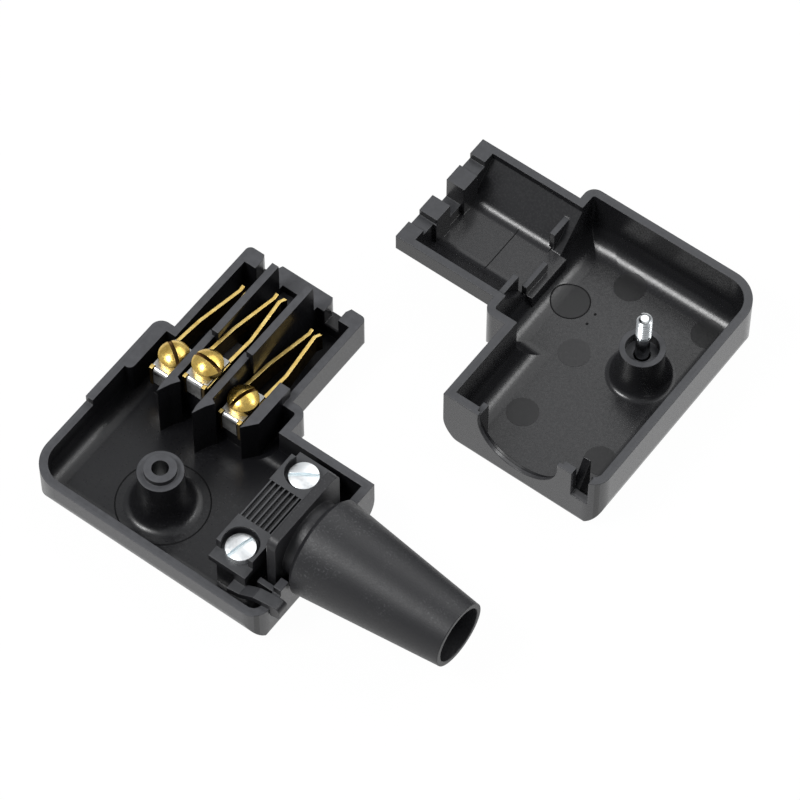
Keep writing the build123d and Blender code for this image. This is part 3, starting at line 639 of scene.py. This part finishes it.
# Floors of the two halves, in mm in the closed plan where no unit is given.
FLOOR_TOP = 1.8 * MM
WALL = 1.45
OUTLINE_LEFT = -15.2
OUTLINE_LOW = -15.8
OUTLINE_HIGH = 19.0
COVER_HOLLOW_R = 4.15
BASE_HOLLOW_R = 3.15
MARK_LIFT = 0.03
MARK_DEPTH = 0.12 * MM
BAND_WIDTH = 0.3
MARK_STEPS = 72
# The open cover's place of the closed plan's origin.
COVER_X = 46.17
COVER_Y = 64.55


def base_place(x, y):
    """Place in the base of a point in the closed plan, in metres."""
    return x * MM, y * MM


def cover_place(x, y):
    """Place in the open cover of a point in the closed plan, in metres."""
    return (COVER_X - y) * MM, (COVER_Y - x) * MM


def floor_height(x, y, hollow_r):
    """Height of a half's floor at a place in the closed plan, rising in the hollow beside its walls."""
    start = WALL + hollow_r
    into = max(OUTLINE_LEFT + start - x, OUTLINE_LOW + start - y, y - OUTLINE_HIGH + start, 0.0)
    return FLOOR_TOP + (hollow_r - math.sqrt(hollow_r**2 - into**2)) * MM


def thicken(work, depth):
    """Close a sheet into a plate that reaches a depth below it."""
    grown = bmesh.ops.extrude_face_region(work, geom=work.faces[:], use_keep_orig=True)
    lower = [item for item in grown["geom"] if isinstance(item, bmesh.types.BMVert)]
    bmesh.ops.translate(work, vec=(0, 0, -depth), verts=lower)
    bmesh.ops.recalc_face_normals(work, faces=work.faces)


def add_moulded(name, mesh, finish):
    """Smooth a mesh and add it as a piece of the moulding."""
    smooth(mesh)
    add_piece(name, mesh, finish)


def floor_mark(name, x, y, inner, outer, hollow_r, place, finish):
    """Thin ring, or a disc if it has no hole, that follows the floor; sizes in mm in the closed plan."""
    work = bmesh.new()
    bands = max(1, int((outer - inner) / BAND_WIDTH))
    rows = []
    for band in range(bands + 1):
        radius = inner + (outer - inner) * band / bands
        row = []
        for step in range(MARK_STEPS):
            turn = 2 * math.pi * step / MARK_STEPS
            px = x + radius * math.cos(turn)
            py = y + radius * math.sin(turn)
            height = floor_height(px, py, hollow_r) + MARK_LIFT * MM
            row.append(work.verts.new((*place(px, py), height)))
        rows.append(row)
    for low, high in zip(rows, rows[1:]):
        for step in range(MARK_STEPS):
            after = (step + 1) % MARK_STEPS
            work.faces.new((low[step], low[after], high[after], high[step]))
    bmesh.ops.remove_doubles(work, verts=work.verts, dist=MERGE_DISTANCE)
    thicken(work, MARK_DEPTH)
    add_moulded(name, mesh_from(work, name), finish)


# Bosses: place in the closed plan in mm, then the foot's curve.
BOSS = (4.1, -4.9)
BOSS_R = 3.805 * MM
FOOT_LEAN = 0.12 * MM
FOOT_STEPS = 24
BEND_LIFT = 0.05 * MM
FOOT_LIFT = 0.01 * MM
FOOT_SINK = 0.1 * MM
FOOT_OVERLAP = 0.3 * MM
FOOT_TURNS = 96


def boss_foot(name, x, y, reach, rise, finish):
    """Hollow curve from a boss's wall down to the floor."""
    top = Vector((BOSS_R, FLOOR_TOP + rise))
    bend = Vector((BOSS_R + FOOT_LEAN, FLOOR_TOP + BEND_LIFT))
    foot = Vector((BOSS_R + reach, FLOOR_TOP + FOOT_LIFT))
    profile = []
    for index in range(FOOT_STEPS + 1):
        share = index / FOOT_STEPS
        profile.append(top * (1 - share) ** 2 + bend * 2 * share * (1 - share) + foot * share**2)
    inner_r = BOSS_R - FOOT_OVERLAP
    under = FLOOR_TOP - FOOT_SINK
    profile += [(foot.x, under), (inner_r, under), (inner_r, top.y), tuple(top)]
    mesh = turned_mesh(name, profile, FOOT_TURNS)
    shift(mesh, x, y)
    add_moulded(name, mesh, finish)


boss_foot("base_boss_foot", *base_place(*BOSS), reach=2.6 * MM, rise=5.4 * MM, finish=base_foot_black)
boss_foot("cover_boss_foot", *cover_place(*BOSS), reach=2.0 * MM, rise=4.4 * MM, finish=cover_foot_black)

# Marks on the floors, in mm in the closed plan.
DISC_PLACES = ((-8.7, 6.2), (-8.7, -9.2), (21.3, 6.2), (21.3, -9.2))
FAINT_DISC = (7.1, 6.1)
DISC_R = 2.7
RING = (-0.6, 12.4)
RING_INNER = 3.18
RING_OUTER = 3.40
PIP_XS = (-1.0, 1.3)
PIP_Y = 7.7
PIP_R = 0.24
BOSS_RING_INNER = 7.58
BOSS_RING_OUTER = 7.82
IN_COVER = (COVER_HOLLOW_R, cover_place)
IN_BASE = (BASE_HOLLOW_R, base_place)

for index, (x, y) in enumerate(DISC_PLACES):
    floor_mark(f"ejector_mark_{index + 1}", x, y, 0.0, DISC_R, *IN_COVER, disc_black)
floor_mark("ejector_mark_5", *FAINT_DISC, 0.0, DISC_R, *IN_COVER, faint_black)
floor_mark("ejector_ring", *RING, RING_INNER, RING_OUTER, *IN_COVER, mark_black)
floor_mark("ejector_face", *RING, 0.0, RING_INNER, *IN_COVER, disc_black)
for index, x in enumerate(PIP_XS):
    floor_mark(f"floor_pip_{index + 1}", x, PIP_Y, 0.0, PIP_R, *IN_COVER, mark_black)
floor_mark("boss_ring", *BOSS, BOSS_RING_INNER, BOSS_RING_OUTER, *IN_BASE, mark_black)

# Floor of the cover's mouth, in mm in the closed plan.
MOUTH_FLOOR_TOP = 5.7
MOUTH_FLAT = 3.61
MOUTH_HOLLOW_R = 3.0
SLOPE_FOOT = MOUTH_FLAT + MOUTH_HOLLOW_R * math.sin(math.radians(45))
HOLLOW_SPAN = (19.6, 35.6)
HOLLOW_LIFT = 0.01
LINE_HALF = 4.8
LINE_SPAN = (25.92, 26.08)
STRIP_STEPS = 24


def mouth_height(x):
    """Height in mm of the cover's mouth floor, rising in a hollow to the slope at each side."""
    into = max(abs(x) - MOUTH_FLAT, 0.0)
    return MOUTH_FLOOR_TOP + MOUTH_HOLLOW_R - math.sqrt(MOUTH_HOLLOW_R**2 - into**2)


def mouth_strip(name, x_span, y_span, lift, finish):
    """Thin strip that follows the cover's mouth floor across it; sizes in mm in the closed plan."""
    work = bmesh.new()
    rows = []
    for step in range(STRIP_STEPS + 1):
        x = x_span[0] + (x_span[1] - x_span[0]) * step / STRIP_STEPS
        height = (mouth_height(x) + lift) * MM
        rows.append([work.verts.new((*cover_place(x, y), height)) for y in y_span])
    for (low_a, high_a), (low_b, high_b) in zip(rows, rows[1:]):
        work.faces.new((low_a, low_b, high_b, high_a))
    thicken(work, MARK_DEPTH)
    add_moulded(name, mesh_from(work, name), finish)


mouth_strip("mouth_hollow_far", (-SLOPE_FOOT, -MOUTH_FLAT), HOLLOW_SPAN, HOLLOW_LIFT, cover_foot_black)
mouth_strip("mouth_hollow_near", (MOUTH_FLAT, SLOPE_FOOT), HOLLOW_SPAN, HOLLOW_LIFT, cover_foot_black)
mouth_strip("mouth_line", (-LINE_HALF, LINE_HALF), LINE_SPAN, MARK_LIFT, mark_black)

# Stage, in metres and watts.
FLOOR_SIZE = 4.0
FLOOR_DROP = 0.0002
FLOOR_GREY = (0.86, 0.86, 0.86, 1)
FLOOR_GLOW = 1.0
FLOOR_WHITENESS = 0.98
AIM = Vector((22.09, 34.13, 0.0)) * MM
AZIMUTH = math.radians(36.74)
ELEVATION = math.radians(57.96)
DISTANCE = 747.8 * MM
LENS = 207.6
SENSOR = 36.0
CLIP_START = 0.05
SKY_COLOUR = (0.95, 0.97, 1.0, 1)
SKY_STRENGTH = 0.5


def floor_plane():
    """Pale floor, seen as white, that keeps a faint shadow."""
    bpy.ops.mesh.primitive_plane_add(size=FLOOR_SIZE, location=(0, 0, -FLOOR_DROP))
    plane = bpy.context.object
    plane.name = "floor"
    material = bpy.data.materials.new("floor_white")
    material.use_nodes = True
    tree = material.node_tree
    tree.nodes.clear()
    out = tree.nodes.new("ShaderNodeOutputMaterial")
    diffuse = tree.nodes.new("ShaderNodeBsdfDiffuse")
    diffuse.inputs["Color"].default_value = FLOOR_GREY
    glow = tree.nodes.new("ShaderNodeEmission")
    glow.inputs["Strength"].default_value = FLOOR_GLOW
    path = tree.nodes.new("ShaderNodeLightPath")
    seen = combine(tree, "MAXIMUM", path.outputs["Is Camera Ray"], path.outputs["Is Glossy Ray"])
    mix = tree.nodes.new("ShaderNodeMixShader")
    tree.links.new(combine(tree, "MULTIPLY", seen, FLOOR_WHITENESS), mix.inputs["Fac"])
    tree.links.new(diffuse.outputs[0], mix.inputs[1])
    tree.links.new(glow.outputs[0], mix.inputs[2])
    tree.links.new(mix.outputs[0], out.inputs["Surface"])
    plane.data.materials.append(material)


def look_along(direction):
    """Turn of a camera or lamp that looks along a direction."""
    return direction.to_track_quat("-Z", "Y").to_euler()


def soft_light(name, place, size, power):
    """Rectangular soft box that looks at the part."""
    data = bpy.data.lights.new(name, "AREA")
    data.shape = "RECTANGLE"
    data.size, data.size_y = size
    data.energy = power
    lamp = bpy.data.objects.new(name, data)
    lamp.location = place
    lamp.rotation_euler = look_along(AIM - Vector(place))
    scene.collection.objects.link(lamp)


floor_plane()

back = Vector(
    (
        math.sin(AZIMUTH) * math.cos(ELEVATION),
        -math.cos(AZIMUTH) * math.cos(ELEVATION),
        math.sin(ELEVATION),
    )
)
camera_data = bpy.data.cameras.new("camera")
camera_data.lens = LENS
camera_data.sensor_width = SENSOR
camera_data.clip_start = CLIP_START
camera = bpy.data.objects.new("camera", camera_data)
camera.location = AIM + back * DISTANCE
camera.rotation_euler = look_along(-back)
scene.collection.objects.link(camera)
scene.camera = camera

soft_light("overhead", place=(0.05, 0.50, 0.55), size=(0.60, 0.45), power=1.7)
soft_light("front_left", place=(-0.20, -0.29, 0.58), size=(0.28, 0.17), power=3.6)
soft_light("back_right", place=(0.42, 0.36, 0.50), size=(0.25, 0.20), power=1.2)

world = bpy.data.worlds.new("studio")
world.use_nodes = True
background = world.node_tree.nodes["Background"]
background.inputs["Color"].default_value = SKY_COLOUR
background.inputs["Strength"].default_value = SKY_STRENGTH
scene.world = world
scene.view_settings.view_transform = "Standard"
